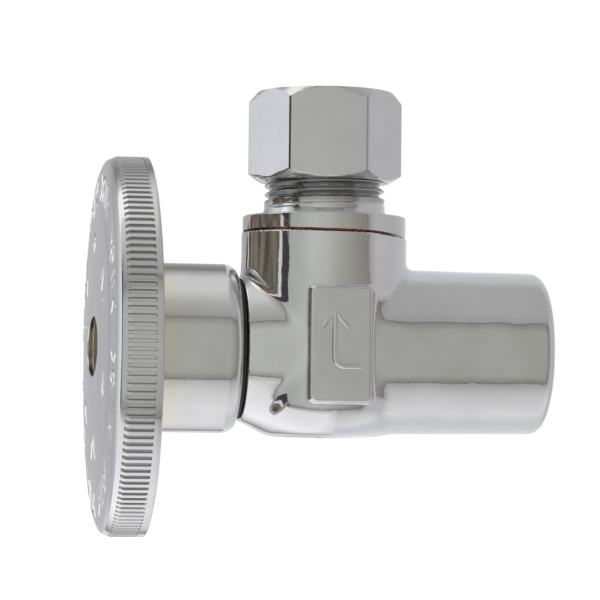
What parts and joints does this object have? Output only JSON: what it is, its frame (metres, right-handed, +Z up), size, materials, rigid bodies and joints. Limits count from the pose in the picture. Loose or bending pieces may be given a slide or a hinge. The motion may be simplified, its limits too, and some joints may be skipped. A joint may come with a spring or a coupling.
{
  "type": "angle stop valve",
  "caption": "Quarter-turn right-angle shut-off valve with a sweat inlet, a compression outlet and a round knurled handle.",
  "frame": {"origin": "centre of the inlet socket's mouth, where the supply pipe enters", "axes": "+X out of the inlet socket's mouth (the handle is towards -X), +Z up out of the outlet, Y level across the valve"},
  "size_m": [0.0535, 0.0444, 0.0526],
  "materials": {
    "chrome_cast": "polished chrome plate on a slightly uneven casting",
    "chrome_turned": "polished chrome plate on turned brass",
    "chrome_handle": "bright chrome plate on a die casting",
    "braze": "copper-coloured braze",
    "brass": "plain turned brass",
    "steel": "plain stainless steel",
    "rubber": "black rubber",
    "seat_plastic": "white seat plastic"
  },
  "bodies": {
    "valve": {"valve_body": "chrome_cast", "outlet_nipple": "chrome_turned", "braze_ring": "braze", "outlet_seat": "seat_plastic", "outlet_seat_o_ring": "rubber", "inlet_seat": "seat_plastic", "inlet_seat_o_ring": "rubber", "bonnet": "brass", "bonnet_seal": "rubber", "thrust_washer": "seat_plastic"},
    "turning_handle": {"handle": "chrome_handle", "handle_insert": "brass", "handle_screw": "steel", "screw_lock_washer": "steel", "stem": "brass", "stem_clip": "steel", "stop_washer": "steel", "stem_o_ring_inner": "rubber", "stem_o_ring_outer": "rubber", "ball": "chrome_turned"},
    "sleeve": {"compression_sleeve": "brass"},
    "nut": {"compression_nut": "chrome_turned"}
  },
  "joints": [
    {"name": "handle_turn", "type": "hinge", "parent": "valve", "child": "turning_handle", "pos_m": [-0.0261, 0, 0], "axis": [1, 0, 0], "range_deg": [0, 90]},
    {"name": "sleeve_slide", "type": "slide", "parent": "valve", "child": "sleeve", "axis": [0, 0, 1], "range_m": [-0.0012, 0.0072]},
    {"name": "nut_turn", "type": "hinge", "parent": "sleeve", "child": "nut", "pos_m": [-0.0261, 0, 0], "axis": [0, 0, 1], "range_deg": [-360, 2340]}
  ],
  "couplings": [
    {"joint": "sleeve_slide", "follows": "nut_turn", "m_per_rad": 0.00016844}
  ]
}
